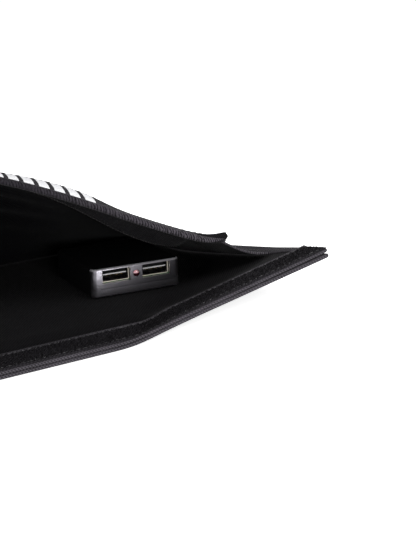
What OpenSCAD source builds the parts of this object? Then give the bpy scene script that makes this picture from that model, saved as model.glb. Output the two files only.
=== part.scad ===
// Folding solar charger: a fabric strip of one pocket leaf and two solar leaves, lying unfolded.
// The pocket's mouth gapes, and the charge controller with its two sockets shows inside it.
// X runs along the fold lines, Y from the mouth to the far solar leaf, Z up.
// The origin is under the middle of the strip, on the surface that the strip lies on.

/* [Strip] */
// Width of the strip along the fold lines
leaf_w = 300; // [285:1:340]
// Depth of each leaf across the fold lines
leaf_d = 165; // [162:1:200]
// Width of the sewn web between two leaves
web_w = 12; // [9:0.5:20]
// Thickness of a web
web_t = 1.2; // [0.8:0.1:1.6]

/* [Pocket leaf] */
// Thickness of each of the two fabric sheets of the pocket leaf
sheet_t = 1.5; // [1:0.1:2]
// Height that the mouth's right corner curls up by
curl_h = 20.5; // [8:0.5:24]
// Length of the curl along the mouth
curl_u = 112; // [80:1:140]
// Length of the curl along the right edge
curl_y = 150; // [90:1:160]
// Extra gap between the two sheets at the curled corner
lip_gap = 0.8; // [0.2:0.1:2]
// Width of the loop tape along the mouth
loop_w = 16; // [12:1:25]
// Thickness of the loop tape
loop_t = 1.4; // [1:0.1:2]
// Distance of the loop tape from the mouth's edge
loop_in = 0.8; // [0.4:0.1:4]

/* [Pocket flap] */
// Thickness of the flap's cloth
flap_t = 1.4; // [1:0.1:2]
// Thickness of the folded hem at the flap's free edge
hem_t = 2.8; // [2:0.1:4]
// Height of the flap's crest where the mouth gapes widest
flap_rise = 80; // [60:1:95]
// Distance of that crest from the right edge
flap_apex_u = 178; // [150:1:200]
// Height of the flap's two front corners
corner_rise = 28; // [26:0.5:34]
// Distance of the flap's front corners from the leaf's side edges
corner_in = 34; // [24:0.5:38]
// Distance of the free edge from the mouth's edge
edge_in = 22; // [16:1:30]
// Distance of the flap's sewn rear seam from the mouth's edge
seam_in = 146; // [140:1:148]
// Droop of the free edge below the crest
droop = 1.2; // [0.4:0.1:3]
// Height that the flap puffs up by behind its hem, over the controller
puff = 2.4; // [0:0.1:4]
// Width of the hook tape inside the free edge
hook_w = 16; // [10:1:20]
// Thickness of the hook tape
hook_t = 1.2; // [0.8:0.1:1.6]
// Sag of the hook tape's rear edge near the right corner, where it has come away
hook_sag = 7.5; // [0:0.5:9]
// Thickness of the side gussets
gusset_t = 1; // [0.6:0.1:1.4]
// Distance of a gusset's sewn foot from the leaf's side edge
gusset_in = 6; // [5:0.5:8]
// Width of the tape over the rear seam
seam_tape_w = 9; // [6:0.5:10]
// Thickness of the tape over the rear seam
seam_tape_t = 1.2; // [0.8:0.1:1.6]

/* [Charge controller] */
// Width of the case across its sockets
case_w = 43; // [40:0.5:48]
// Height of the case
case_h = 13; // [13:0.1:16]
// Length of the case
case_l = 46; // [44:0.5:50]
// Wall of the case
case_wall = 1.6; // [1.2:0.1:2]
// Wall over the sockets
roof_t = 0.9; // [0.7:0.1:1.4]
// Height of the lower half of the case
base_h = 3.5; // [3:0.1:4]
// Radius of the case's upright corners
case_r = 2.6; // [1:0.1:3]
// Distance of the case's middle from the leaf's right edge
case_u = 64.4; // [60:0.2:90]
// Distance of the case's front from the mouth's edge
case_y = 56.6; // [50:0.2:62]
// Turn of the case away from the mouth's line, in degrees
case_turn = 8.2; // [0:0.2:12]
// Thickness of the foam pad that holds the case down
pad_t = 0.8; // [0.4:0.1:2]
// Spacing of the two sockets
port_pitch = 19.5; // [17:0.1:21]

/* [Solar leaves] */
// Thickness of a leaf's back cover
cover_t = 1; // [0.6:0.1:1.4]
// Thickness of the fabric border round a panel
border_t = 1.2; // [1:0.1:1.6]
// Width of the margin from a leaf's edge to its panel board
margin = 15; // [13:0.5:18]
// Overlap of the border on the panel's edge
overlap = 4; // [2:0.5:4]
// Thickness of the panel board
board_t = 1.4; // [1:0.1:2]
// Thickness of a cell
cell_t = 0.3; // [0.2:0.05:0.4]
// Thickness of the clear cover over the board
clear_t = 0.8; // [0.7:0.05:1.2]
// Cells in a row along the fold line
cells_x = 6; // [4:1:8]
// Rows of cells across a leaf
cells_y = 3; // [2:1:4]
// Gap between cells
cell_gap = 1.6; // [1:0.1:3]
// Radius of an eyelet's hole
eyelet_r = 2.5; // [2:0.1:3]
// Radius of an eyelet's flange
flange_r = 5; // [4.5:0.1:5.5]

/* [Hidden] */

$fn = 48;

// Clearances
ply_gap = 0.2;
snug = 0.1;
loose = 0.25;

// Places of the leaves
strip_d = 3 * leaf_d + 2 * web_w;
mouth_y = -strip_d / 2;
function leaf_y(k) = mouth_y + k * (leaf_d + web_w);

// Heights in the pocket leaf
floor_z = 2 * sheet_t + ply_gap;
seam_z = floor_z + ply_gap + flap_t;
case_z = floor_z + pad_t;

// Heights in a solar leaf
board_z = cover_t;
cell_z = board_z + board_t;
clear_top = cell_z + clear_t;
border_top = clear_top + 0.8;
web_z = 0.5;

// Surfaces of the pocket leaf. u is the distance from the right edge, y from the mouth's edge.
function point(u, y, z) = [leaf_w / 2 - u, mouth_y + y, z];
function mix(a, b, t) = a + (b - a) * t;
function ramp(a, b, x) = let (t = min(1, max(0, (x - a) / (b - a)))) t * t * (3 - 2 * t);
curl_soft = 0.12;
// The tape keeps the curl straight along the mouth. Behind it the curl bows in to the corner, clear of the case.
curl_bow = 0.65;
function curl(u, y) =
    let (
        behind = max(ramp(0.2 * case_y, 0.67 * case_y, y), ramp(0.6 * curl_u, 0.9 * curl_u, u)),
        bow = mix(1, curl_bow, behind),
        reach = pow(pow(u / curl_u, bow) + pow(y / curl_y, bow), 1 / bow),
        t = max(0, 1 - reach))
    curl_h * (1 + curl_soft) * t * t / (t + curl_soft);
function lip(u, y) = lip_gap * max(0, 1 - u / (0.6 * curl_u) - y / (0.6 * curl_y));
function steps(a, b, n) = [for (i = [0:n]) mix(a, b, i / n)];
function easing(a, b, n) = [for (t = steps(0, 1, n)) mix(a, b, pow(t, 1.4))];
tape_rows = steps(loop_in, loop_in + loop_w, 4);
tape_columns = concat(easing(loop_in, curl_u, 16), [leaf_w - loop_in]);
sheet_rows = concat([0], tape_rows, [for (y = easing(loop_in + loop_w, curl_y, 12)) if (y > tape_rows[4]) y], [leaf_d]);
sheet_columns = concat([0], tape_columns, [leaf_w]);

// The free edge's crest: two Bezier curves from corner to apex to corner, as distance and height
right_corner = [corner_in, corner_rise];
left_corner = [leaf_w - corner_in, corner_rise];
apex = [flap_apex_u, flap_rise];
right_span = apex - right_corner;
left_span = apex - left_corner;
apex_lean = [0.23 * right_span.x, 0];
crest_right = [right_corner, right_corner + [0.33 * right_span.x, 0.294 * right_span.y], apex - apex_lean, apex];
crest_left = [apex, apex + apex_lean, left_corner + [0.3 * left_span.x, 0.5 * left_span.y], left_corner];
function bezier(p, t) =
    pow(1 - t, 3) * p[0] + 3 * pow(1 - t, 2) * t * p[1] + 3 * (1 - t) * t * t * p[2] + pow(t, 3) * p[3];
function crest(a) = a <= 0.5 ? bezier(crest_right, 2 * a) : bezier(crest_left, 2 * a - 1);

// The flap's upper face. a runs from the right side to the left, v from the rear seam to the free edge.
corner_setback = 5;
flap_belly = 0.85;
hem_v = 0.92;
roll_v = 0.965;
puff_v = 0.5;
function flap_point(a, v) =
    let (
        top = crest(a),
        along = (top.x - corner_in) / right_span.x,
        swell = puff * ramp(0.35, 0.49, along) * (1 - ramp(0.56, 0.77, along)) * sin(180 * min(1, (1 - v) / puff_v)),
        u = mix(mix(corner_in, leaf_w - corner_in, a), top.x, v),
        y = mix(seam_in, edge_in + corner_setback * pow(2 * a - 1, 4), v),
        fall = droop * pow(max(0, v - roll_v) / (1 - roll_v), 2))
    point(u, y, mix(seam_z, top.y, pow(sin(90 * v), flap_belly)) + swell - fall);
function below(p, t) = p - [0, 0, t];
function flap_thick(v) = v < hem_v ? flap_t : hem_t;
flap_columns = steps(0, 1, 28);
hook_v = hem_v - 0.025;
hook_sag_u = 60;
hook_sag_w = 35;
hook_rows = steps(hook_v, hook_v - hook_w / (seam_in - edge_in), 2);
flap_rows = concat([1, 0.988, 0.977, roll_v, 0.945, hem_v], hook_rows, steps(hook_rows[2] - 0.09, 0, 6));

// A closed sheet between two grids of points. The first index runs left, the second to the rear.
module skin(top, bottom) {
    n = len(top);
    m = len(top[0]);
    function at(i, j) = i * m + j;
    function under(i, j) = n * m + at(i, j);
    function quad(a, b, c, d) = [[a, b, c], [a, c, d]];
    faces = concat(
        [for (i = [0:n - 2], j = [0:m - 2]) each quad(at(i, j), at(i + 1, j), at(i + 1, j + 1), at(i, j + 1))],
        [for (i = [0:n - 2], j = [0:m - 2])
            each quad(under(i, j), under(i, j + 1), under(i + 1, j + 1), under(i + 1, j))],
        [for (i = [0:n - 2]) each quad(at(i + 1, 0), at(i, 0), under(i, 0), under(i + 1, 0))],
        [for (i = [0:n - 2])
            each quad(at(i, m - 1), at(i + 1, m - 1), under(i + 1, m - 1), under(i, m - 1))],
        [for (j = [0:m - 2]) each quad(at(0, j), at(0, j + 1), under(0, j + 1), under(0, j))],
        [for (j = [0:m - 2])
            each quad(at(n - 1, j + 1), at(n - 1, j), under(n - 1, j), under(n - 1, j + 1))]);
    polyhedron([for (row = concat(top, bottom)) each row], faces);
}

// Pocket leaf

module pocket_back() color("#1b1a1d")
    skin(
        [for (u = sheet_columns) [for (y = sheet_rows) point(u, y, sheet_t + curl(u, y) - lip(u, y))]],
        [for (u = sheet_columns) [for (y = sheet_rows) point(u, y, curl(u, y) - lip(u, y))]]);

module pocket_floor() color("#161518")
    skin(
        [for (u = sheet_columns) [for (y = sheet_rows) point(u, y, floor_z + curl(u, y))]],
        [for (u = sheet_columns) [for (y = sheet_rows) point(u, y, floor_z - sheet_t + curl(u, y))]]);

module loop_tape() {
    lift = floor_z + ply_gap;
    color("#0f0e10") skin(
        [for (u = tape_columns) [for (y = tape_rows) point(u, y, lift + loop_t + curl(u, y))]],
        [for (u = tape_columns) [for (y = tape_rows) point(u, y, lift + curl(u, y))]]);
}

module pocket_flap() color("#1d1c1f")
    skin(
        [for (a = flap_columns) [for (v = flap_rows) flap_point(a, v)]],
        [for (a = flap_columns) [for (v = flap_rows) below(flap_point(a, v), flap_thick(v))]]);

module hook_tape() {
    columns = [for (i = [1:len(flap_columns) - 2]) flap_columns[i]];
    lift = flap_t + ply_gap;
    function hang(a, v) =
        let (
            p = flap_point(a, v),
            u = leaf_w / 2 - p.x,
            back = (hook_v - v) / (hook_v - hook_rows[2]))
        lift + hook_sag * back * exp(-pow((u - hook_sag_u) / hook_sag_w, 2));
    color("#0c0c0d") skin(
        [for (a = columns) [for (v = hook_rows) below(flap_point(a, v), hang(a, v))]],
        [for (a = columns) [for (v = hook_rows) below(flap_point(a, v), hang(a, v) + hook_t)]]);
}

// A gusset runs from the flap's side edge down to its sewn foot on the pocket's floor.
gusset_rows = [1, 0.9, 0.78, 0.65, 0.5, 0.35, 0.2, 0.1, 0.03];
gusset_front = 34;
gusset_sag = 2.2;
function gusset_point(a, v, s) =
    let (
        out = a < 0.5 ? 1 : -1,
        top = flap_point(a, v) + [out * 1.5 * ply_gap, 0, -ply_gap],
        foot_u = a < 0.5 ? gusset_in : leaf_w - gusset_in,
        foot_y = mix(seam_in, gusset_front, v),
        foot = point(foot_u, foot_y, floor_z + ply_gap + gusset_t + curl(foot_u, foot_y)))
    below(mix(top, foot, s), gusset_sag * v * sin(180 * s));

module gusset(a) {
    across_steps = a < 0.5 ? steps(1, 0, 5) : steps(0, 1, 5);
    color("#131214") skin(
        [for (s = across_steps) [for (v = gusset_rows) gusset_point(a, v, s)]],
        [for (s = across_steps) [for (v = gusset_rows) below(gusset_point(a, v, s), gusset_t)]]);
}

module seam_tape() {
    behind = 0.8;
    color("#1f1e21") translate([-leaf_w / 2 + gusset_in, mouth_y + seam_in + behind, floor_z])
        cube([leaf_w - 2 * gusset_in, seam_tape_w, seam_tape_t]);
}

// Charge controller. Its own frame: x across the sockets, y into the pocket from its front, z up.

post_r = 3;
post_x = case_w / 2 - case_wall - post_r - snug;
post_front = 18.5;
post_rear = case_l - case_wall - post_r - snug;
screw_r = 1;
head_r = 1.9;
head_h = 1.2;
screw_l = 8;
pcb_t = 1.6;
pcb_z = 4.7;
pcb_top = pcb_z + pcb_t;
port_w = 13.1;
port_h = 5.7;
port_l = 14;
port_in = 0.4;
port_z = pcb_top + port_h / 2;
shell_t = 0.35;
led_r = 1.5;
led_z = 8.7;
gland_r = 2.4;
gland_z = 9.2;
gland_bore = 1.5;
part_gap = 1;
drum_r = 5;
can_r = 3.1;
cans_y = post_front + post_r + part_gap + can_r;

module at_case()
    translate(point(case_u, case_y, case_z)) rotate([0, 0, -case_turn]) children();

module rounded(w, l, r) {
    translate([-w / 2 + r, 0]) square([w - 2 * r, l]);
    translate([-w / 2, r]) square([w, l - 2 * r]);
    for (x = [-1, 1], y = [r, l - r]) translate([x * (w / 2 - r), y]) circle(r);
}

module case_block(z, h) translate([0, 0, z]) linear_extrude(h) rounded(case_w, case_l, case_r);

module case_room(z, h)
    translate([0, case_wall, z]) linear_extrude(h)
        rounded(case_w - 2 * case_wall, case_l - 2 * case_wall, max(0.3, case_r - case_wall));

module at_posts()
    for (x = [-post_x, post_x], y = [post_front, post_rear]) translate([x, y, 0]) children();

module at_ports() for (x = [-1, 1]) translate([x * port_pitch / 2, 0, port_z]) children();

module foam_pad() {
    inset = 3;
    color("#202022") at_case() translate([-case_w / 2 + inset, inset, -pad_t])
        cube([case_w - 2 * inset, case_l - 2 * inset, pad_t]);
}

module case_base() {
    tray_floor = 1.4;
    color("#2a2a2d") at_case() difference() {
        union() {
            difference() {
                case_block(0, base_h);
                case_room(tray_floor, base_h);
            }
            at_posts() cylinder(h = pcb_z, r = post_r);
        }
        at_posts() translate([0, 0, -1]) cylinder(h = pcb_z + 2, r = screw_r + snug);
        at_posts() translate([0, 0, -1]) cylinder(h = head_h + snug + 1, r = head_r + snug);
    }
}

// The bevel runs round the roof's four edges.
module roof_bevel() {
    bevel = 0.7;
    side = bevel * sqrt(2);
    far = 2 * case_l;
    for (x = [-1, 1]) translate([x * case_w / 2, case_l / 2, case_h]) rotate([0, 45, 0])
        cube([side, far, side], center = true);
    for (y = [0, case_l]) translate([0, y, case_h]) rotate([45, 0, 0]) cube([far, side, side], center = true);
}

module case_top() {
    color("#303034") at_case() difference() {
        union() {
            difference() {
                case_block(base_h, case_h - base_h);
                case_room(base_h - 1, case_h - roof_t - base_h + 1);
                roof_bevel();
            }
            at_posts() translate([0, 0, pcb_top]) cylinder(h = case_h - roof_t - pcb_top + snug, r = post_r);
        }
        at_posts() cylinder(h = head_h + screw_l + loose, r = screw_r + snug / 2);
        at_ports() translate([-port_w / 2 - loose, -1, -port_h / 2 - loose])
            cube([port_w + 2 * loose, case_wall + 2, port_h + 2 * loose]);
        translate([0, -1, led_z]) rotate([-90, 0, 0]) cylinder(h = case_wall + 2, r = led_r + snug);
        translate([0, case_l + 1, gland_z]) rotate([90, 0, 0]) cylinder(h = case_wall + 2, r = gland_r + snug / 2);
    }
}

module case_screws() color("#8a8c90") at_case() at_posts() {
    cylinder(h = head_h, r = head_r);
    cylinder(h = head_h + screw_l, r = screw_r);
}

module circuit_board() {
    side = case_wall + 0.3;
    color("#1d5a34") at_case() difference() {
        translate([-case_w / 2 + side, side, pcb_z]) cube([case_w - 2 * side, case_l - 2 * side, pcb_t]);
        at_posts() translate([0, 0, pcb_z - 1]) cylinder(h = pcb_t + 2, r = screw_r + snug);
    }
}

// A socket's sheet-metal shell, open at the front
module usb_shell(x) color("#b9b29f") at_case() translate([x * port_pitch / 2, port_in, port_z]) difference() {
    translate([-port_w / 2, 0, -port_h / 2]) cube([port_w, port_l, port_h]);
    translate([-port_w / 2 + shell_t, -1, -port_h / 2 + shell_t])
        cube([port_w - 2 * shell_t, port_l - shell_t + 1, port_h - 2 * shell_t]);
}

tongue_t = 1.84;
tongue_rise = 0.75;
tongue_w = 11.1;
tongue_in = 1.2;
block_l = 4;
contact_t = 0.2;

// The insulator: a block at the back of the shell that carries the tongue
module usb_tongue(x) color("#d8d8d6") at_case() translate([x * port_pitch / 2, port_in, port_z]) {
    inner_w = port_w - 2 * shell_t - 2 * snug;
    inner_h = port_h - 2 * shell_t - 2 * snug;
    block_y = port_l - shell_t - snug - block_l;
    translate([-inner_w / 2, block_y, -inner_h / 2]) cube([inner_w, block_l, inner_h]);
    translate([-tongue_w / 2, tongue_in, tongue_rise - tongue_t / 2])
        cube([tongue_w, block_y - tongue_in + snug, tongue_t]);
}

module usb_contacts() {
    contact_w = 1;
    contact_l = 6.5;
    contact_pitch = 2.3;
    color("#c9a24a") at_case() at_ports()
        for (i = [-1.5:1:1.5])
            translate([i * contact_pitch - contact_w / 2, port_in + tongue_in + 0.8,
                tongue_rise - tongue_t / 2 - contact_t])
                cube([contact_w, contact_l, contact_t]);
}

led_dome = 0.9;
led_l = 4.4;

module status_led() color("#e58a98") at_case() translate([0, 0, led_z]) {
    flange_y = case_wall + snug;
    translate([0, led_dome, 0]) rotate([-90, 0, 0]) cylinder(h = led_l - led_dome, r = led_r);
    translate([0, led_dome, 0]) sphere(led_r);
    translate([0, flange_y, 0]) rotate([-90, 0, 0]) cylinder(h = 1, r = led_r + 0.4);
}

module led_leads() {
    lead = 0.5;
    run = 1.4;
    color("#b8bcc0") at_case()
        for (x = [-0.635, 0.635]) translate([x - lead / 2, led_l, 0]) {
            translate([0, 0, led_z - lead / 2]) cube([lead, run, lead]);
            translate([0, run - lead, pcb_top]) cube([lead, lead, led_z - pcb_top]);
        }
}

module power_inductor() {
    drum_h = 4.8;
    color("#3a3634") at_case() translate([0, port_in + port_l + part_gap + drum_r, pcb_top]) difference() {
        cylinder(h = drum_h, r = drum_r);
        translate([0, 0, 1]) difference() {
            cylinder(h = drum_h - 2, r = drum_r + 1);
            cylinder(h = drum_h - 2, r = drum_r - 1.2);
        }
    }
}

module capacitors() {
    can_h = 5;
    color("#9aa0a6") at_case()
        for (x = [-1, 1]) translate([x * (drum_r + part_gap + can_r), cans_y, pcb_top])
            cylinder(h = can_h, r = can_r);
}

module control_chips() {
    chip = [5, 4, 1.5];
    color("#121214") at_case()
        for (x = [-1, 1]) translate([x * (chip.x + part_gap) / 2 - chip.x / 2, cans_y + can_r + part_gap, pcb_top])
            cube(chip);
}

// The rubber gland in the rear wall, where the panels' lead comes in
module lead_gland() {
    flange_t = 1.2;
    color("#18181a") at_case() translate([0, case_l - case_wall, gland_z]) rotate([-90, 0, 0]) difference() {
        union() {
            cylinder(h = case_wall, r = gland_r);
            translate([0, 0, case_wall]) cylinder(h = flange_t, r = gland_r + 1);
            translate([0, 0, -flange_t]) cylinder(h = flange_t, r = gland_r + 0.3);
        }
        translate([0, 0, -flange_t - 1]) cylinder(h = case_wall + 2 * flange_t + 2, r = gland_bore);
    }
}

// Webs: the two plies sewn together between leaves, cut at the fold line

module web_half(y) color("#1b1a1d")
    translate([-leaf_w / 2, y, web_z]) cube([leaf_w, web_w / 2 - ply_gap / 2, web_t]);

// Solar leaves. k is 1 for the leaf beside the pocket and 2 for the far one.

board_w = leaf_w - 2 * margin;
board_d = leaf_d - 2 * margin;
window_w = board_w - 2 * overlap;
window_d = board_d - 2 * overlap;
cell_w = (window_w - 1 - (cells_x - 1) * cell_gap) / cells_x;
cell_d = (window_d - 1 - (cells_y - 1) * cell_gap) / cells_y;
cell_cut = 3;
ribbon_w = 1.5;
ribbon_t = 0.15;
eyelet_in = 6.4;
barrel_t = 0.5;
rim_t = 0.5;

module at_leaf(k) translate([0, leaf_y(k) + leaf_d / 2, 0]) children();

module plate(w, d, z, t) translate([-w / 2, -d / 2, z]) cube([w, d, t]);

// The eyelets sit in the two corners that are outermost on the pair of solar leaves.
module at_eyelets(k) {
    y = (k == 1 ? -1 : 1) * (leaf_d / 2 - eyelet_in);
    for (x = [-1, 1]) translate([x * (leaf_w / 2 - eyelet_in), y, 0]) children();
}

module at_cells() {
    pitch_x = cell_w + cell_gap;
    pitch_y = cell_d + cell_gap;
    for (i = [0:cells_x - 1], j = [0:cells_y - 1])
        translate([(i - (cells_x - 1) / 2) * pitch_x, (j - (cells_y - 1) / 2) * pitch_y, 0]) children();
}

module cell_outline(grow) {
    w = cell_w / 2 + grow;
    d = cell_d / 2 + grow;
    c = cell_cut;
    polygon([[-w + c, -d], [w - c, -d], [w, -d + c], [w, d - c], [w - c, d], [-w + c, d], [-w, d - c], [-w, -d + c]]);
}

// Two ribbons run up each row of cells, on top of the cells.
module ribbons(grow, z, t) {
    run = cells_y * cell_d + (cells_y - 1) * cell_gap - 4;
    for (i = [0:cells_x - 1], side = [-1, 1])
        translate([(i - (cells_x - 1) / 2) * (cell_w + cell_gap) + side * cell_w / 4, 0, 0])
            plate(ribbon_w + 2 * grow, run + 2 * grow, z, t);
}

module back_cover(k) color("#1b1a1d") at_leaf(k) difference() {
    plate(leaf_w, leaf_d, 0, cover_t);
    at_eyelets(k) {
        translate([0, 0, -1]) cylinder(h = cover_t + 2, r = eyelet_r + barrel_t + snug);
        translate([0, 0, -1]) cylinder(h = rim_t + 1, r = flange_r + snug);
    }
}

module panel_board(k) color("#c9c7bd") at_leaf(k) plate(board_w, board_d, board_z, board_t);

module cells(k) color("#0c1430") at_leaf(k)
    at_cells() translate([0, 0, cell_z]) linear_extrude(cell_t) cell_outline(0);

module tab_ribbons(k) color("#c9ccd0") at_leaf(k) ribbons(0, cell_z + cell_t, ribbon_t);

module clear_cover(k) color("#22304a", 0.4) at_leaf(k) difference() {
    plate(board_w, board_d, cell_z, clear_t);
    at_cells() translate([0, 0, cell_z - 1]) linear_extrude(cell_t + 1) cell_outline(0.05);
    ribbons(0.05, cell_z, cell_t + ribbon_t);
}

module border(k) {
    rise_w = 2;
    color("#1d1c1f") at_leaf(k) difference() {
        union() {
            plate(leaf_w, leaf_d, cover_t, border_t);
            plate(board_w + 2 * (rise_w + loose), board_d + 2 * (rise_w + loose), cover_t, border_top - cover_t);
        }
        plate(board_w + 2 * loose, board_d + 2 * loose, cover_t - 1, clear_top - cover_t + 1);
        plate(window_w, window_d, cover_t, border_top);
        at_eyelets(k) cylinder(h = border_top, r = eyelet_r + barrel_t + snug);
    }
}

module eyelets(k) color("#3c3d40") at_leaf(k) at_eyelets(k) difference() {
    union() {
        cylinder(h = cover_t + border_t + rim_t, r = eyelet_r + barrel_t);
        translate([0, 0, cover_t + border_t]) cylinder(h = rim_t, r = flange_r);
    }
    translate([0, 0, -1]) cylinder(h = cover_t + border_t + rim_t + 2, r = eyelet_r);
}

module eyelet_washers(k) color("#3c3d40") at_leaf(k) at_eyelets(k) difference() {
    cylinder(h = rim_t, r = flange_r);
    translate([0, 0, -1]) cylinder(h = rim_t + 2, r = eyelet_r + barrel_t + snug / 2);
}

// What is drawn

pocket_back();
pocket_floor();
loop_tape();
pocket_flap();
hook_tape();
gusset(0);  // gusset_right
gusset(1);  // gusset_left
seam_tape();
foam_pad();
case_base();
case_top();
case_screws();
circuit_board();
usb_shell(-1);  // usb_shell_left
usb_shell(1);  // usb_shell_right
usb_tongue(-1);  // usb_tongue_left
usb_tongue(1);  // usb_tongue_right
usb_contacts();
status_led();
led_leads();
power_inductor();
capacitors();
control_chips();
lead_gland();
web_half(leaf_y(0) + leaf_d);  // web_1_pocket_half
web_half(leaf_y(1) - web_w / 2 + ply_gap / 2);  // web_1_solar_half
web_half(leaf_y(1) + leaf_d);  // web_2_inner_half
web_half(leaf_y(2) - web_w / 2 + ply_gap / 2);  // web_2_outer_half
back_cover(1);  // back_cover_1
back_cover(2);  // back_cover_2
panel_board(1);  // panel_board_1
panel_board(2);  // panel_board_2
cells(1);  // cells_1
cells(2);  // cells_2
tab_ribbons(1);  // tab_ribbons_1
tab_ribbons(2);  // tab_ribbons_2
clear_cover(1);  // clear_cover_1
clear_cover(2);  // clear_cover_2
border(1);  // border_1
border(2);  // border_2
eyelets(1);  // eyelets_1
eyelets(2);  // eyelets_2
eyelet_washers(1);  // eyelet_washers_1
eyelet_washers(2);  // eyelet_washers_2
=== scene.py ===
import math
import random

import bmesh
import bpy
from mathutils import Matrix, Vector


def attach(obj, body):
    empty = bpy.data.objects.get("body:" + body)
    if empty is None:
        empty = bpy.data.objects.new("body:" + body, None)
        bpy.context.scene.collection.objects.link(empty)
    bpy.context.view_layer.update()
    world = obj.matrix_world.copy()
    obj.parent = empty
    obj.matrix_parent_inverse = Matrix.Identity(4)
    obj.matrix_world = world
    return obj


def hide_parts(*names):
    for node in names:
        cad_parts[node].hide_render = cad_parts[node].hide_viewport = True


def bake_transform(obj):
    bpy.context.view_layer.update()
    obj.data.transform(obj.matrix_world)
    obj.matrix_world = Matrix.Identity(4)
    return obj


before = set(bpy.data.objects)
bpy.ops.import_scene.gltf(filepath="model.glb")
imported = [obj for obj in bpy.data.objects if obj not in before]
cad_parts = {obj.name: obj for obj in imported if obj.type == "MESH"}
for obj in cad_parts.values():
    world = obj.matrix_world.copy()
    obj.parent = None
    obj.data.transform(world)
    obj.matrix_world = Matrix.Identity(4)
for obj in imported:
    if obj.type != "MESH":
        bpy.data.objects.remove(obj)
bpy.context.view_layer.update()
random.seed(11)


# Outer ply of the pocket leaf. A rectangle of coarse black nylon, 300 by 165 mm, woven with a
# broken diagonal rib. It lies on the ground, and its front right corner has curled up with use.
mm = 0.001
leaf_w, leaf_d = 300, 165
half_leaf_w, half_leaf_d = leaf_w / 2, leaf_d / 2
mouth_y, case_in = -259.5, 56.6
curl_high, curl_wide, curl_deep, curl_soft = 20.5, 112, 150, 0.12
lip_gap, ply_thick = 0.8, 0.9


def on_leaf(u, y, z):
    """A point by its distance in mm from the right edge and from the mouth, and its height."""
    flare = 1.2 * math.exp(-(u * u + y * y) / 900)
    return Vector((half_leaf_w - u + flare, y + mouth_y, z)) * mm


def rounded_corner(u, y, radius):
    """Draws the mouth's two square corners in to a radius, as a binding pulls them."""
    near = min(u, leaf_w - u)
    du, dy = radius - near, radius - y
    if du > 0 and dy > 0:
        share = max(du, dy) / math.hypot(du, dy)
        near, y = radius - du * share, radius - dy * share
    return (near if u < half_leaf_w else leaf_w - near), y


def ramp(first, last, x):
    """Eases from 0 at first to 1 at last."""
    t = min(1.0, max(0.0, (x - first) / (last - first)))
    return t * t * (3 - 2 * t)


def curl(u, y):
    """Height of the curled corner: straight across the stiff tape, bowed in to the corner behind it."""
    bow = 1 - 0.35 * max(ramp(0.2 * case_in, 0.67 * case_in, y), ramp(0.6 * curl_wide, 0.9 * curl_wide, u))
    reach = ((max(u, 0) / curl_wide) ** bow + (max(y, 0) / curl_deep) ** bow) ** (1 / bow)
    t = max(0.0, 1 - reach)
    return curl_high * (1 + curl_soft) * t * t / (t + curl_soft)


def gape(u, y):
    """How far the two plies part at the curled corner."""
    return lip_gap * max(0.0, 1 - u / (0.6 * curl_wide) - y / (0.6 * curl_deep))


def back_height(u, y):
    """Middle of the outer ply."""
    return 0.75 + curl(u, y) - gape(u, y)


def steps(first, last, count):
    """Evenly spaced values, with both ends."""
    return [first + (last - first) * i / count for i in range(count + 1)]


def cut_cloth(across, along, surface):
    """A grid of cloth that keeps the millimetres of its cut as UVs, laid on surface(s, t)."""
    bm = bmesh.new()
    bmesh.ops.create_grid(bm, x_segments=len(across) - 1, y_segments=len(along) - 1, size=0.5)
    cut = bm.loops.layers.uv.new("cut")
    at = {v: (across[round((v.co.x + 0.5) * (len(across) - 1))],
              along[round((v.co.y + 0.5) * (len(along) - 1))]) for v in bm.verts}
    for face in bm.faces:
        for loop in face.loops:
            loop[cut].uv = at[loop.vert]
    for v, (s, t) in at.items():
        v.co = surface(s, t)
    bmesh.ops.recalc_face_normals(bm, faces=bm.faces)
    return bm


def linked(name, data):
    """An object in the scene for a mesh, a light or a camera."""
    obj = bpy.data.objects.new(name, data)
    bpy.context.scene.collection.objects.link(obj)
    return obj


def made(name, bm, finish, body=None, sharp=None):
    """Turns a bmesh into a named piece in its finish, riding on a body."""
    mesh = bpy.data.meshes.new(name)
    bm.to_mesh(mesh)
    bm.free()
    mesh.shade_smooth()
    if sharp:
        mesh.set_sharp_from_angle(angle=math.radians(sharp))
    mesh.materials.append(finish)
    obj = linked(name, mesh)
    if body:
        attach(obj, body)
    return obj


def thicken(obj, thickness, edge=0.0):
    """Gives a sheet its thickness in mm about its middle, and rolls its cut edges."""
    body = obj.modifiers.new("thickness", "SOLIDIFY")
    body.thickness, body.offset = thickness * mm, 0
    if edge:
        roll = obj.modifiers.new("edge", "BEVEL")
        roll.width, roll.segments = edge * mm, 3
        roll.limit_method, roll.angle_limit = "ANGLE", math.radians(55)


class Shade:
    """One output socket of a node. Arithmetic on it adds Math nodes."""

    def __init__(self, nodes, socket):
        self.nodes, self.socket = nodes, socket

    def math(self, operation, *values):
        return self.nodes.node("Math", {"operation": operation}, dict(enumerate((self, *values))))

    def other(self, output):
        """Another output of the same node."""
        return Shade(self.nodes, self.socket.node.outputs[output])

    def held(self, low=0.0):
        """The same field, kept between a low limit and 1."""
        return self.math("MAXIMUM", low).math("MINIMUM", 1.0)

    def __add__(self, value): return self.math("ADD", value)
    def __sub__(self, value): return self.math("SUBTRACT", value)
    def __rsub__(self, value): return self.nodes.node("Math", {"operation": "SUBTRACT"}, {0: value, 1: self})
    def __mul__(self, value): return self.math("MULTIPLY", value)
    def __truediv__(self, value): return self.math("DIVIDE", value)
    def __pow__(self, value): return self.math("POWER", value)
    def __gt__(self, value): return self.math("GREATER_THAN", value)
    def __lt__(self, value): return self.math("LESS_THAN", value)
    __radd__ = __add__


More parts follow.
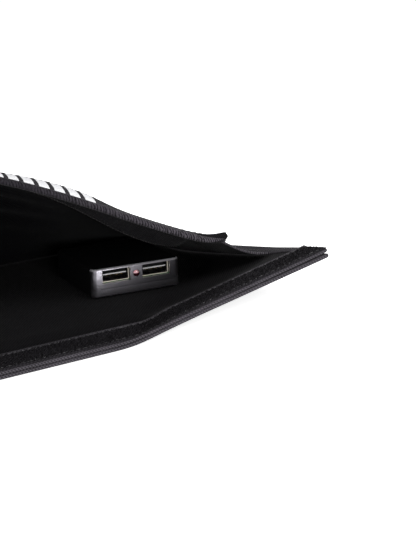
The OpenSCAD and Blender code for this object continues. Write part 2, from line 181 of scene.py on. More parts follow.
class Nodes:
    """The node tree of a material or of the surround."""

    def __init__(self, owner):
        owner.use_nodes = True
        self.tree = owner.node_tree

    def node(self, kind, settings, inputs, output=0):
        """Adds a node: its settings, its inputs as fields or constants, and the output that is wanted."""
        node = self.tree.nodes.new("ShaderNode" + kind)
        for key, value in settings.items():
            setattr(node, key, value)
        for key, value in inputs.items():
            if isinstance(value, Shade):
                self.tree.links.new(value.socket, node.inputs[key])
            else:
                node.inputs[key].default_value = value
        return Shade(self, node.outputs[output])


class Finish(Nodes):
    """A procedural material: constants sit on the shader's own sockets, fields feed the rest."""

    def __init__(self, name, **fixed):
        self.material = bpy.data.materials.new(name)
        super().__init__(self.material)
        self.shader = self.tree.nodes["Principled BSDF"]
        for socket, value in fixed.items():
            self.shader.inputs[socket.replace("_", " ")].default_value = value

    def mix(self, low, high, share):
        """One colour passing into another by a field."""
        low, high = (c if isinstance(c, Shade) else (*c, 1) for c in (low, high))
        return self.node("Mix", {"data_type": "RGBA"}, {0: share, 6: low, 7: high}, 2)

    def place(self):
        """The object's own coordinates, in metres."""
        return self.node("TexCoord", {}, {}, 3)

    def noise(self, where, scale, detail=2.0):
        return self.node("TexNoise", {}, {"Vector": where, "Scale": scale, "Detail": detail})

    def feed(self, bump=None, depth=None, **fields):
        """Links fields to the shader and a height in mm to its normal, and hands over the material."""
        for socket, field in fields.items():
            self.tree.links.new(field.socket, self.shader.inputs[socket.replace("_", " ")])
        if bump:
            normal = self.node("Bump", {}, {"Strength": 0.9, "Distance": depth * mm, "Height": bump})
            self.tree.links.new(normal.socket, self.shader.inputs["Normal"])
        return self.material


def woven(name, dark, light, pitch=0.62, sheen=0.02, band=None, trim=None, print_on=None):
    """Nylon cloth on the cut's own millimetres: a diagonal rib broken by the crossing yarns."""
    cloth = Finish(name, Sheen_Weight=sheen, Sheen_Roughness=0.4, Specular_IOR_Level=0.02)
    cut = cloth.node("UVMap", {"uv_map": "cut"}, {})
    s = cloth.node("SeparateXYZ", {}, {0: cut})
    t = s.other(1)
    turn = math.pi / pitch
    rib = ((s + t) * turn).math("COSINE")
    cross = ((s - t) * turn).math("COSINE")
    wear_and_top_highlight = cloth.noise(cut, 0.09, 3.0)
    fibre = cloth.noise(cut, 2.3)
    height = 0.5 + rib * 0.34 - cross * 0.16 + (fibre - 0.5) * 0.25
    tone = (height * 0.75 + wear_and_top_highlight * 0.5 - 0.12).math("MAXIMUM", 0.0)
    colour = cloth.mix(dark, light, tone)
    roughness = 0.92 - height * 0.18
    if band:
        wander = cloth.noise(cut, 0.6)
        cord = 0.5 + ((s + t * 0.6 + wander * 1.9) * (math.pi / 0.55)).math("COSINE") * 0.5
        share = band(s, t)
        height = cloth.node("Mix", {}, {0: share, 2: height, 3: cord})
        colour = cloth.mix(colour, cloth.mix(*trim, cord * wander * fibre * 4), share)
    if print_on:
        ink = print_on(s, t) * (0.94 - (fibre - 0.5).math("MAXIMUM", 0.0) * 1.4)
        colour = cloth.mix(colour, (0.82, 0.82, 0.84), ink)
    return cloth.feed(bump=height, depth=0.16, Base_Color=colour, Roughness=roughness)


nylon = woven("black_nylon", (0.0022, 0.0021, 0.0024), (0.014, 0.0132, 0.0148))

outer_ply = made("pocket_back_ply", cut_cloth(
    steps(0.7, leaf_w - 0.7, 100), steps(0.7, leaf_d, 55),
    lambda u, y: on_leaf(*rounded_corner(u, y, 0.5), back_height(u, y))), nylon, "pocket_leaf")
thicken(outer_ply, ply_thick)
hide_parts("pocket_back")


# Inner ply, which is the pocket's floor. The same nylon, sewn to the outer ply along the rear and
# loose at the curled corner. A shallow crease runs in front of the controller from folding.
def floor_height(u, y):
    """Middle of the inner ply, with its crease."""
    crease = 0.35 * math.exp(-((y - 31 - 0.05 * (u - 110)) / 2.2) ** 2) * math.exp(-((u - 150) / 45) ** 2)
    return 2.45 + curl(u, y) + crease


# The floor's nylon is a darker copy of the outer ply's: painted shade of the pocket's inside.
lining = woven("pocket_floor_shaded", (0.0018, 0.0017, 0.002), (0.0072, 0.0066, 0.0078), pitch=0.8)
inner_ply = made("pocket_floor_ply", cut_cloth(
    steps(0.7, leaf_w - 0.7, 100), steps(0.7, leaf_d, 66),
    lambda u, y: on_leaf(*rounded_corner(u, y, 2), floor_height(u, y))), lining, "pocket_leaf")
thicken(inner_ply, ply_thick)
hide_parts("pocket_floor")


# Bindings of the two plies. A ribbed tape folded over each raw edge along the mouth and the sides,
# mitred at the corners and sewn through. They are the two pale lips at the curled corner.
ribbed_tape = woven("binding_tape", (0.006, 0.0055, 0.0065), (0.090, 0.083, 0.095), pitch=0.7)
binding_leg, binding_r, binding_in = 4.5, 0.62, 0.75
binding_turn = math.pi * binding_r
binding_wide = 2 * binding_leg + binding_turn
bound_edges = {"mouth": leaf_w, "right": leaf_d, "left": leaf_d}


def folded_edge(t):
    """Depth behind the edge and height over the ply's middle for a point across the tape."""
    if t < binding_leg:
        return binding_in + binding_leg - t, binding_r
    turn = (t - binding_leg) / binding_r
    if turn < math.pi:
        return binding_in - binding_r * math.sin(turn), binding_r * math.cos(turn)
    return binding_in + t - binding_leg - binding_turn, -binding_r


def along_edge(side, s, depth, radius):
    """Distance from the right edge and the mouth, for millimetres along one bound edge."""
    if side == "mouth":
        return rounded_corner(depth + (leaf_w - 2 * depth) * s / leaf_w, depth, radius)
    u, y = rounded_corner(depth, depth + (leaf_d - depth) * s / leaf_d, radius)
    return (u, y) if side == "right" else (leaf_w - u, y)


binding_rows = [0, 2.2] + steps(binding_leg, binding_leg + binding_turn, 8) + [binding_wide - 2.2, binding_wide]
for ply, radius, swell, middle in (("pocket_back", 0.5, 0.02, back_height), ("pocket_floor", 2, 0, floor_height)):
    for side, long in bound_edges.items():
        def fold_over(s, t):
            depth, height = folded_edge(t)
            u, y = along_edge(side, s, depth, radius)
            return on_leaf(u, y, middle(u, y) + height * (1 + swell * curl(u, y)))

        crowded = 1 if side == "left" else 1.25
        tape = cut_cloth([long * i ** crowded for i in steps(0, 1, 90)], binding_rows, fold_over)
        bind = made(f"{ply}_binding_{side}", tape, ribbed_tape, "pocket_leaf")
        thicken(bind, 0.26)


# Loop tape of the mouth's closure. A knitted strip 16 mm wide with a woven selvage on its
# inner side, sewn along the pocket's floor over the binding, and covered with small nylon loops.
tape_in, tape_w = 0.8, 16


def on_tape(u, y):
    """The strip's upper face: level under the pile, with a bead at the inner selvage."""
    return 3.85 + curl(u, y) + 0.6 * math.exp(-((y - tape_in - tape_w + 0.8) / 0.7) ** 2)


def selvage_painted_light(s, t):
    """The selvage along the strip's inner side. Its pale band is a painted highlight on the raised edge, fading to
    the left as painted shade.
    """
    return (t > tape_in + tape_w - 1.9) * (1.6 - s / 110).held(0.4)


# The selvage band's pale trim colours are a painted highlight.
selvage = woven("selvage", (0.004, 0.0037, 0.0043), (0.030, 0.028, 0.032), pitch=0.8, band=selvage_painted_light,
                trim=((0.046, 0.043, 0.048), (0.060, 0.056, 0.063)))
strip = made("loop_tape_strip", cut_cloth(
    steps(tape_in, leaf_w - tape_in, 110), steps(tape_in, tape_in + tape_w, 32),
    lambda u, y: on_leaf(u, y, on_tape(u, y) - 0.2)), selvage, "pocket_leaf")
thicken(strip, 0.4)
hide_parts("loop_tape")

pile_finish = Finish("nylon_loops", Specular_IOR_Level=0.02)
where = pile_finish.place()
tuft = pile_finish.noise(where, 900.0)
patch = pile_finish.noise(where, 160.0)
pile_finish = pile_finish.feed(
    Base_Color=pile_finish.mix((0.0035, 0.0033, 0.0037), (0.027, 0.0252, 0.0282), tuft * 0.42 + patch * 0.3),
    Roughness=0.95 - tuft * 0.2)


def join(whole, part, spots):
    """Adds a bmesh to another one at each matrix of spots, and frees it."""
    small = bpy.data.meshes.new("small")
    for spot in spots:
        part.to_mesh(small)
        small.transform(spot)
        whole.from_mesh(small)
    part.free()
    bpy.data.meshes.remove(small)


def scattered(name, template, spots, finish, body):
    """Sets one small template mesh at each matrix of spots, as a single piece."""
    whole = bmesh.new()
    join(whole, template, spots)
    return made(name, whole, finish, body)


loop = bmesh.new()
ring = bmesh.ops.create_circle(loop, segments=3, radius=0.1 * mm)["verts"]
bmesh.ops.translate(loop, verts=ring, vec=(0.5 * mm, 0, 0))
bmesh.ops.rotate(loop, verts=ring, cent=(0, 0, 0), matrix=Matrix.Rotation(math.pi, 3, "X"))
bmesh.ops.spin(loop, geom=loop.verts[:] + loop.edges[:], cent=(0, 0, 0), axis=(0, 1, 0), angle=-math.pi, steps=5,
               use_merge=False)
spots = []
loops_long, loops_wide = 248, 16
for i in range(loops_long):
    for j in range(loops_wide):
        u = tape_in + 0.8 + (leaf_w - 2 * tape_in - 1.6) * (i + random.random()) / loops_long
        y = tape_in + 0.4 + (tape_w - 2.4) * (j + random.random()) / loops_wide
        lean = Matrix.Rotation(random.uniform(-0.5, 0.5), 4, "X") @ Matrix.Rotation(random.uniform(-0.4, 0.4), 4, "Y")
        spots.append(Matrix.Translation(on_leaf(u, y, on_tape(u, y) - 0.1)) @
                     Matrix.Rotation(random.uniform(0, 2 * math.pi), 4, "Z") @ lean @
                     Matrix.Diagonal((random.uniform(0.7, 1.2), 1, random.uniform(1.0, 1.7), 1)))
pile = scattered("loop_tape_pile", loop, spots, pile_finish, "pocket_leaf")


# Flap over the pocket. One cut of the same nylon, sewn along its rear edge, standing open. Its free
# edge is turned under 12 mm as a corded hem, and a row of plain slanted bars is printed behind it.
flap_wide, flap_long, flap_thick = 245, 134, 1.4
hem_turn, hem_r = 12, 0.7
seam_in, seam_z, edge_in = 146, 4.8, 22
corner_u, apex_u, seam_wide = 34, 178, 232
crest_curves = (((corner_u, 28), (81.5, 43.29), (144.9, 80), (apex_u, 80)),
                ((apex_u, 80), (211.1, 80), (239.6, 54), (266, 28)))


def crest(a):
    """Distance and height of the flap's free edge, from its right corner to its left one."""
    p, t = (crest_curves[0], 2 * a) if a <= 0.5 else (crest_curves[1], 2 * a - 1)
    share = ((1 - t) ** 3, 3 * (1 - t) ** 2 * t, 3 * (1 - t) * t * t, t ** 3)
    return sum(w * q[0] for w, q in zip(share, p)), sum(w * q[1] for w, q in zip(share, p))


def on_flap(a, v, below):
    """A point under the flap's upper face: a from right to left, v from the rear seam to the free edge."""
    far, high = crest(a)
    along = (far - corner_u) / (apex_u - corner_u)
    u = corner_u + seam_wide * a + (far - corner_u - seam_wide * a) * v
    y = seam_in + (edge_in + 5 * (2 * a - 1) ** 4 - seam_in) * v
    rise = seam_z + (high - seam_z) * math.sin(math.pi / 2 * v) ** 0.85
    puff = 2.7 * ramp(0.33, 0.50, along) * (1 - ramp(0.54, 0.86, along)) * math.sin(math.pi * min(1, (1 - v) / 0.24))
    lift = 0.8 * ramp(0.75, 1, v) * (1 - ramp(0, 0.06, min(a, 1 - a)))
    droop = 1.2 * (max(0.0, v - 0.965) / 0.035) ** 2
    return on_leaf(u, y, rise + puff + lift - droop - below)


def flap_surface(s, t):
    """The cut's middle face: over the flap, round the fold and back under the hem."""
    a, over = s / flap_wide, t - flap_long
    middle = flap_thick / 2
    inset = min(s, flap_wide - s)
    cut_in = max(0.0, 1 - inset / 6)
    edge = 0.99 - 0.02 * (1 - math.sqrt(1 - cut_in * cut_in))
    roll = 0.2 + 0.5 * ramp(0, 15, inset)
    if over <= 0:
        v = edge * t / flap_long
        slack = ramp(0.15, 0.35, v) * (1 - ramp(0.62, 0.75, v)) * ramp(0.15, 0.35, a) * (1 - ramp(0.65, 0.85, a))
        return on_flap(a, v, middle + 0.9 * slack * math.sin(42 * v + 5 * a))
    turn = over / hem_r
    if turn < math.pi:
        return on_flap(a, edge, middle + roll * (1 - math.cos(turn))) - Vector((0, roll * math.sin(turn) * mm, 0))
    return on_flap(a, edge - (over - hem_r * math.pi) / (seam_in - edge_in), middle + 2 * roll)


def slanted_bars(s, t):
    """A plain printed hatch: equal white bars between two straight edges."""
    lean = (s - t * 0.08) / 5.4
    bar = lean.math("FRACT") < 0.68
    return bar * (lean > 8) * (lean < 27) * (t > 112) * (t < 133.6)


def corded(s, t):
    """The hem's corded band: round the fold and a little way under it, narrower to the right. Its pale colour is a
    painted sheen on the fold, fading to the left as painted shade.
    """
    # painted shade: the band's pale share falls off towards the left
    pale = (1.2 - s / 75).held(0.15)
    wide = (s / 18).math("MINIMUM", 1.0)
    return (t > flap_long - wide * 1.2) * (t - flap_long < wide * 4 - 0.1) * pale


flap_cloth = woven("flap_nylon", (0.003, 0.0027, 0.0033), (0.020, 0.018, 0.022), sheen=0.06, band=corded,
                   trim=((0.0015, 0.0013, 0.0017), (0.080, 0.072, 0.084)), print_on=slanted_bars)
flap_columns = steps(0, 6, 8) + steps(8.5, flap_wide - 8.5, 82) + steps(flap_wide - 6, flap_wide, 8)
fold_end = flap_long + hem_r * math.pi
flap_rows = steps(0, 120, 30) + steps(121.5, flap_long, 9) + \
    steps(flap_long, fold_end, 6)[1:] + steps(fold_end, fold_end + hem_turn, 6)[1:]
flap = made("pocket_flap_cloth", cut_cloth(flap_columns, flap_rows, flap_surface), flap_cloth, "flap")
thicken(flap, flap_thick, edge=0.35)
# The flap's underside takes a darker copy of its nylon: painted shade under the flap.
flap_underside_shade = woven("flap_underside_shade", (0.0008, 0.0008, 0.001), (0.0034, 0.0033, 0.0042), pitch=0.8, sheen=0.008)
flap.data.materials.append(flap_underside_shade)
flap.modifiers["thickness"].material_offset = 1
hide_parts("pocket_flap")


ear_long, ear_high = 16, 3.2


def ear_surface(s, t):
    """The tail of the hem's turn-in, standing out of the flap's right corner, with its end folded over."""
    tip = 1 - s / ear_long
    base = on_flap(0.057 - 0.055 * tip, 0.985 - 0.008 * max(0, 1 - s / 5), flap_thick / 2)
    nub = max(0.0, 1 - s / 4) * (0.35 + 1.15 * math.sin(math.pi * min(1, t / 2.6)))
    return base + Vector((0.6 * tip * t / 3 + nub, 0.5 * t / 4, t * (0.25 + 0.75 * tip))) * mm


ear = made("pocket_flap_ear", cut_cloth(steps(0, ear_long, 12), steps(0, ear_high, 8), ear_surface), nylon, "flap")
thicken(ear, 1.2, edge=0.3)


# Hook tape inside the flap. A woven strip 16 mm wide with moulded hooks, sewn on along its front
# edge. Its rear edge has come away near the right corner and sags into the mouth.
hook_long, hook_wide = 230, 16


def on_hook(s, t):
    """The strip's upper face, from its front edge back, with its sag."""
    a, back = 1 / 28 + (26 / 28) * s / hook_long, t / hook_wide
    p = on_flap(a, 0.895 - 0.129 * back, 1.8)
    u = half_leaf_w - p.x / mm
    return p - Vector((0, 0, 7.5 * back * math.exp(-((u - 60) / 35) ** 2) * mm))


# The pale band along the strip's rear edge is a painted highlight.
hook_cloth = woven("hook_strip", (0.002, 0.0019, 0.0022), (0.017, 0.016, 0.0185), pitch=0.5,
                   band=lambda s, t: t > hook_wide - 0.8, trim=((0.05, 0.048, 0.05), (0.16, 0.155, 0.16)))
hook_strip = made("hook_tape_strip", cut_cloth(
    steps(0, hook_long, 90), steps(0, hook_wide, 10), on_hook), hook_cloth, "flap")
thicken(hook_strip, 0.5)
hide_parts("hook_tape")


def mottled(name, dark, light, scale, rough, detail=2.0, depth=None, **fixed):
    """A finish whose colour and roughness follow one fine noise, raised as a bump where it has a depth."""
    finish = Finish(name, **fixed)
    cloud = finish.noise(finish.place(), scale, detail)
    return finish.feed(bump=cloud if depth else None, depth=depth, Base_Color=finish.mix(dark, light, cloud),
                       Roughness=rough[0] + cloud * (rough[1] - rough[0]))


moulded_black = mottled("moulded_hooks", (0.005, 0.005, 0.005), (0.02, 0.02, 0.021), 700.0, (0.35, 0.65),
                        Specular_IOR_Level=0.1)
hook = bmesh.new()
ring = bmesh.ops.create_circle(hook, segments=3, radius=0.09 * mm)["verts"]
bmesh.ops.translate(hook, verts=ring, vec=(0.28 * mm, 0, 0))
bmesh.ops.spin(hook, geom=hook.verts[:] + hook.edges[:], cent=(0, 0, 0), axis=(0, 1, 0), angle=math.radians(215),
               steps=5, use_merge=False)
spots = []
hooks_long, hooks_wide = 166, 10
for i in range(hooks_long):
    for j in range(hooks_wide):
        p = on_hook(hook_long * (i + 0.5) / hooks_long, hook_wide * (j + 0.5) / hooks_wide)
        spots.append(Matrix.Translation(p - Vector((0, 0, 0.5 * mm))) @
                     Matrix.Rotation(math.pi * (j % 2) + random.uniform(-0.2, 0.2), 4, "Z"))
hooks = scattered("hook_tape_hooks", hook, spots, moulded_black, "flap")


# Gussets. A triangle of thinner nylon at each side closes the gap between the flap and the floor.
# It is sewn to the flap's side edge and to the floor, and sags between them.
gusset_high, gusset_long, gusset_in = 30, 112, 6
# The pale band along each gusset's front edge is a painted highlight.
gusset_cloth = woven("gusset_nylon", (0.004, 0.0038, 0.0043), (0.024, 0.0225, 0.0255), pitch=0.5,
                     band=lambda s, t: t < 0.8, trim=((0.016, 0.0145, 0.017), (0.090, 0.082, 0.094)))


def on_gusset(a, v, s, proud=0.0):
    """From the seam inside the flap's side edge, s 0, to the sewn foot, s 1."""
    inward = -1.2 if a < 0.5 else 1.2
    top = on_flap(a, 0.965 * v, 0.9) + Vector((inward * mm, 0, 0))
    foot_u, foot_y = (gusset_in if a < 0.5 else leaf_w - gusset_in), seam_in - gusset_long * v
    foot = on_leaf(foot_u, foot_y, 4.4 + curl(foot_u, foot_y))
    sag = 2.2 * v * math.sin(math.pi * s) + 0.5 * v * math.sin(math.pi * s) * math.sin(23 * v + 4 * s)
    front = 2.2 * math.sin(math.pi * s) * max(0.0, v - 0.8) / 0.2
    return top.lerp(foot, s) + Vector((0, front * mm, (proud - 0.5 - sag) * mm))


for side, a in (("right", 0), ("left", 1)):
    gusset = made(f"gusset_{side}_cloth", cut_cloth(
        steps(0, gusset_high, 12), steps(0, gusset_long, 40),
        lambda s, t: on_gusset(a, 1 - 0.97 * t / gusset_long, s / gusset_high)), gusset_cloth)
    thicken(gusset, 1.0, edge=0.3)
    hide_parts(f"gusset_{side}")
    x = 0.144 if a == 0 else -0.144
    x * 116 / 144
    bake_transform(gusset)


# Seam tape over the flap's rear seam. A flat ribbed tape 9 mm wide laid across the whole leaf
# behind the flap, with a row of stitching along each side.
seam_tape = made("seam_tape_cloth", cut_cloth(
    steps(6, 294, 72), steps(146.8, 155.8, 6),
    lambda u, y: on_leaf(u, y, 3.8 + 0.12 * math.sin(u * 0.9) * math.sin(u * 0.23))), ribbed_tape, "pocket_leaf")
thicken(seam_tape, 1.1, edge=0.35)
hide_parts("seam_tape")


# Foam pad under the controller. Closed-cell foam 0.8 mm thick with adhesive on both faces, cut a
# little smaller than the case, which it holds to the pocket's floor.
case_u, case_z, case_turn = 64.4, 4.0, math.radians(-8.2)
case_at = Matrix.Translation(on_leaf(case_u, case_in, case_z)) @ Matrix.Rotation(case_turn, 4, "Z") @ \
    Matrix.Scale(mm, 4)


def near(value, *targets):
    """Whether a coordinate is one of the targets."""
    return any(abs(value - t) < 1e-4 for t in targets)


def block(low, high):
    """A box between two corners, in the units it is given in."""
    bm = bmesh.new()
    bmesh.ops.create_cube(bm, size=1)
    bmesh.ops.scale(bm, verts=bm.verts, vec=[b - a for a, b in zip(low, high)])
    bmesh.ops.translate(bm, verts=bm.verts, vec=[(a + b) / 2 for a, b in zip(low, high)])
    return bm


def soften(bm, radius, segments, chosen):
    """Rounds the edges that chosen(first, second) names by their two ends."""
    edges = [e for e in bm.edges if chosen(e.verts[0].co, e.verts[1].co)]
    bmesh.ops.bevel(bm, geom=edges, offset=radius, offset_type="OFFSET", segments=segments, profile=0.5,
                    affect="EDGES", material=-1, clamp_overlap=True)


def upright(p, q):
    """Chooses the edges that stand along z."""
    return near(p.x, q.x) and near(p.y, q.y)


def in_case(name, bm, finish, sharp, at=case_at):
    """A piece of the controller, from a bmesh in the case's own millimetres."""
    bmesh.ops.transform(bm, matrix=at, verts=bm.verts)
    return made(name, bm, finish, "pocket_leaf", sharp)


foam = Finish("closed_cell_foam", Specular_IOR_Level=0.2)
pore = foam.node("TexVoronoi", {"feature": "DISTANCE_TO_EDGE"}, {"Vector": foam.place(), "Scale": 2200.0})
foam = foam.feed(bump=pore, depth=0.12, Roughness=0.95 - pore * 0.3,
                 Base_Color=foam.mix((0.008, 0.008, 0.009), (0.05, 0.05, 0.054), pore * 1.6))
pad = block((-18.5, 3, -0.8), (18.5, 43, 0))
soften(pad, 1.5, 4, upright)
soften(pad, 0.2, 2, lambda p, q: near(p.z, q.z))
pad = in_case("foam_pad_cell", pad, foam, 40)
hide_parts("foam_pad")


# Controller's case. Two halves moulded in black plastic, matt but for a half-glossy front: a shallow
# tray, and a cover with the openings for the sockets and the lamp. Four screws hold them together.
case_half, case_deep, case_high, case_split = 21.5, 46, 13, 3.5
case_wall, case_corner = 1.6, 2.6
socket_x, socket_z, socket_half = {"left": -9.75, "right": 9.75}, 9.05, (6.8, 3.0)
lamp_r, lamp_z = 1.5, 8.7
gland_r, gland_z = 2.45, 9.2


def in_case_mm(finish, axis):
    """A field of millimetres along an axis of the case: 0 across its front, 1 into it, 2 up from its base."""
    way = case_at.col[axis].xyz / mm ** 2
    reach = finish.node("VectorMath", {"operation": "DOT_PRODUCT"}, {0: finish.place(), 1: way}, 1)
    return reach - case_at.translation.dot(way)


plastic = Finish("grained_plastic", Specular_IOR_Level=1.0, Specular_Tint=(0.94, 0.90, 1.0, 1), IOR=1.75)
where = plastic.place()
grain = plastic.noise(where, 1900.0)
drift = plastic.noise(where, 60.0)
across, height = in_case_mm(plastic, 0), in_case_mm(plastic, 2)
upward = height - case_high / 2
crown = across * across * 0.21 + upward * upward * 0.56
on_tray = ((case_split + 0.2 - height) * 5).held()
# The pale band over the cover's top edge is a painted highlight.
wear_and_top_highlight = ((height - case_high + 1) * 1.4).held()
shade = plastic.mix((0.002, 0.002, 0.0022), (0.008, 0.0078, 0.0085), drift * 0.5 + grain * 0.5)
plastic = plastic.feed(bump=grain * 4 - crown - on_tray * 3.5, depth=0.03,
                       Base_Color=plastic.mix(shade, (0.28, 0.275, 0.29), wear_and_top_highlight),
                       Roughness=0.28 + grain * 0.14 + on_tray * 0.08)
# The darker, dull copy of the plastic is partly a matt finish and partly painted shade on every face behind the
# front.
matt_shaded_plastic = mottled("matt_shaded_plastic", (0.0018, 0.0018, 0.002), (0.0055, 0.0054, 0.0058), 5200.0, (0.75, 0.95),
                       depth=0.05, Specular_IOR_Level=0.04)


def pierce(bm, x, z, half_w, half_h, outer, inner, round_r=None):
    """Cuts a hole through a wall that stands between y outer and y inner, and lines it."""
    def wall():
        return [f for f in bm.faces if abs(f.normal.y) > 0.99 and near(f.calc_center_median().y, outer, inner)]

    for co, no in (((x - half_w, 0, 0), (1, 0, 0)), ((x + half_w, 0, 0), (1, 0, 0)),
                   ((0, 0, z - half_h), (0, 0, 1)), ((0, 0, z + half_h), (0, 0, 1))):
        faces = wall()
        parts = set(faces) | {e for f in faces for e in f.edges} | {v for f in faces for v in f.verts}
        bmesh.ops.bisect_plane(bm, geom=list(parts), plane_co=co, plane_no=no, dist=1e-5)
        bm.normal_update()
    middle = [f for f in wall() if abs(f.calc_center_median().x - x) < half_w
              and abs(f.calc_center_median().z - z) < half_h]
    bmesh.ops.delete(bm, geom=middle, context="FACES")
    rim = [e for e in bm.edges if e.is_boundary]
    if round_r:
        bmesh.ops.subdivide_edges(bm, edges=rim, cuts=4)
        rim = [e for e in bm.edges if e.is_boundary]
        for v in {v for e in rim for v in e.verts}:
            reach = math.hypot(v.co.x - x, v.co.z - z)
            v.co.x, v.co.z = x + (v.co.x - x) * round_r / reach, z + (v.co.z - z) * round_r / reach
    bmesh.ops.bridge_loops(bm, edges=rim)
    bmesh.ops.recalc_face_normals(bm, faces=bm.faces)


def hollow(bm, up, wall, depth):
    """Sinks the face that points up or down into the block, leaving a wall round it."""
    bm.normal_update()
    face = max((f for f in bm.faces if f.normal.z * up > 0.99), key=lambda f: f.calc_area())
    bmesh.ops.inset_region(bm, faces=[face], thickness=wall, depth=0, use_even_offset=True)
    bmesh.ops.inset_region(bm, faces=[face], thickness=0, depth=-depth, use_even_offset=True)


def case_half_made(name, bm):
    """Sets half of the case in its place: its front and rounded corners half-glossy, the rest in a darker matt copy
    that is partly a matt finish and partly painted shade.
    """
    for face in bm.faces:
        face.material_index = 0 if face.calc_center_median().y < case_corner else 1
    half = in_case(name, bm, plastic, 35)
    half.data.materials.append(matt_shaded_plastic)
    return half


tray = block((-case_half, 0, 0), (case_half, case_deep, case_split))
soften(tray, case_corner, 8, upright)
soften(tray, 0.5, 3, lambda p, q: near(p.z, 0) and near(q.z, 0))
hollow(tray, 1, case_wall, 2.1)
tray = case_half_made("case_base_tray", tray)
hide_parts("case_base")

cover = block((-case_half, 0, case_split), (case_half, case_deep, case_high))
soften(cover, case_corner, 8, upright)
soften(cover, 0.7, 4, lambda p, q: near(p.z, case_high) and near(q.z, case_high))
hollow(cover, -1, case_wall, 8.6)
cover.normal_update()
for x in socket_x.values():
    pierce(cover, x, socket_z, *socket_half, 0, case_wall)
pierce(cover, 0, lamp_z, 1.15, 1.15, 0, case_wall, lamp_r + 0.1)
pierce(cover, 0, gland_z, 1.75, 1.75, case_deep, case_deep - case_wall, gland_r)
cover = case_half_made("case_top_cover", cover)
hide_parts("case_top")


# Sockets. Each shell is nickel-plated steel sheet folded to a tube, with two contact springs pressed
# in from its floor. A pale plastic tongue stands inside on a block, with four gilt contacts under it.
nickel = Finish("nickel_plate", Metallic=1.0)
where = nickel.place()
streak = nickel.noise(nickel.node("Mapping", {}, {"Vector": where, "Scale": (1.0, 0.08, 1.0)}), 4000.0)
tarnish = nickel.noise(where, 300.0)


def depth_in_case(finish, first, last):
    """0 to 1 between two depths in mm behind the case's front."""
    return ((in_case_mm(finish, 1) - first) / (last - first)).held()


# Deeper than about 2 mm the shell turns dark as painted shade inside the socket, streaked with painted glints.
rim = nickel.mix((0.55, 0.50, 0.40), (0.80, 0.75, 0.64), tarnish)
painted_glint = (streak * 5 - 2.6).held()
deep = nickel.mix((0.04, 0.037, 0.034), (0.26, 0.25, 0.24), painted_glint)
nickel = nickel.feed(Base_Color=nickel.mix(rim, deep, depth_in_case(nickel, 1.65, 2.2)),
                     Roughness=0.3 + streak * 0.22)
ivory = Finish("socket_insulator", Specular_IOR_Level=0.3)
cloud = ivory.noise(ivory.place(), 900.0)
face = ivory.mix((0.42, 0.42, 0.42), (0.56, 0.56, 0.55), cloud)
# Deeper than 2.3 mm the tongue and its block turn near black: painted shade inside the socket.
ivory = ivory.feed(Base_Color=ivory.mix(face, (0.02, 0.02, 0.02), depth_in_case(ivory, 2.3, 2.7)),
                   Roughness=0.45 + cloud * 0.15)

for side, x in socket_x.items():
    shell = block((x - 6.55, 1.5, 6.3), (x + 6.55, 14.4, 12.0))
    soften(shell, 0.6, 4, lambda p, q: near(p.x, q.x) and near(p.z, q.z))
    shell.normal_update()
    mouth = min(shell.faces, key=lambda f: f.calc_center_median().y)
    bmesh.ops.inset_region(shell, faces=[mouth], thickness=0.35, depth=0, use_even_offset=True)
    bmesh.ops.inset_region(shell, faces=[mouth], thickness=0, depth=-12.55, use_even_offset=True)
    for at in (-2.9, 2.9):
        spring = bmesh.ops.create_grid(shell, x_segments=1, y_segments=8, size=0.5)["verts"]
        for v in spring:
            bow = v.co.y + 0.5
            v.co = (x + at + v.co.x * 1.7, 2.6 + 7.1 * bow, 6.7 + 0.55 * math.sin(math.pi * bow ** 0.8))
        bmesh.ops.solidify(shell, geom=list({f for v in spring for f in v.link_faces}), thickness=0.2)
    shell = in_case(f"usb_shell_{side}_sheet", shell, nickel, 35)
    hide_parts(f"usb_shell_{side}")

    tip, heel = 2.2, 9.95
    tongue = block((x - 5.55, tip, 8.98), (x + 5.55, 10.2, 10.82))
    for v in tongue.verts:
        if near(v.co.y, tip):
            v.co.z = 9.35 if v.co.z < 9.9 else 9.9
    soften(tongue, 0.1, 2, lambda p, q: near(p.y, tip) and near(q.y, tip))
    rear = block((x - 6.1, heel, 6.75), (x + 6.1, 13.95, 11.55))
    soften(rear, 0.25, 2, lambda p, q: near(p.y, heel) and near(q.y, heel))
    join(tongue, rear, [Matrix()])
    tongue = in_case(f"usb_tongue_{side}_insulator", tongue, ivory, 35)
    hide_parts(f"usb_tongue_{side}")


def dress(node, finish):
    """Gives a CAD node that keeps its shape its finish."""
    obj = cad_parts[node]
    obj.data.materials.clear()
    obj.data.materials.append(finish)


dress("usb_contacts", mottled("gilt_contacts", (0.30, 0.20, 0.07), (0.42, 0.31, 0.13), 1500.0, (0.18, 0.38),
                              Metallic=1.0))


# Status lamp. A 3 mm lamp with a tinted, diffusing red lens, pushed out through the cover from
# behind as far as its collar. Its two tinned leads run down to the board.
lens = Finish("red_lens", Coat_Weight=1.0, Coat_Roughness=0.04, Subsurface_Weight=0.25, Subsurface_Scale=0.001)
haze = lens.noise(lens.place(), 1100.0)
# Pale above the lamp's middle and dark below it: painted light on the upper half and painted shade on the lower.
upper = ((in_case_mm(lens, 2) - lamp_z) * 2 + haze * 0.4).held()
lens = lens.feed(Base_Color=lens.mix((0.035, 0.003, 0.006), (0.78, 0.42, 0.46), upper), Roughness=0.14 + haze * 0.12)


def turned(profile, count):
    """Spins a profile of radius and height about the z axis into a closed solid."""
    bm = bmesh.new()
    verts = [bm.verts.new((r, 0, z)) for r, z in profile]
    for first, second in zip(verts, verts[1:]):
        bm.edges.new((first, second))
    bmesh.ops.spin(bm, geom=bm.verts[:] + bm.edges[:], cent=(0, 0, 0), axis=(0, 0, 1), angle=2 * math.pi,
                   steps=count, use_merge=True)
    bmesh.ops.remove_doubles(bm, verts=bm.verts, dist=1e-5)
    bmesh.ops.recalc_face_normals(bm, faces=bm.faces)
    return bm


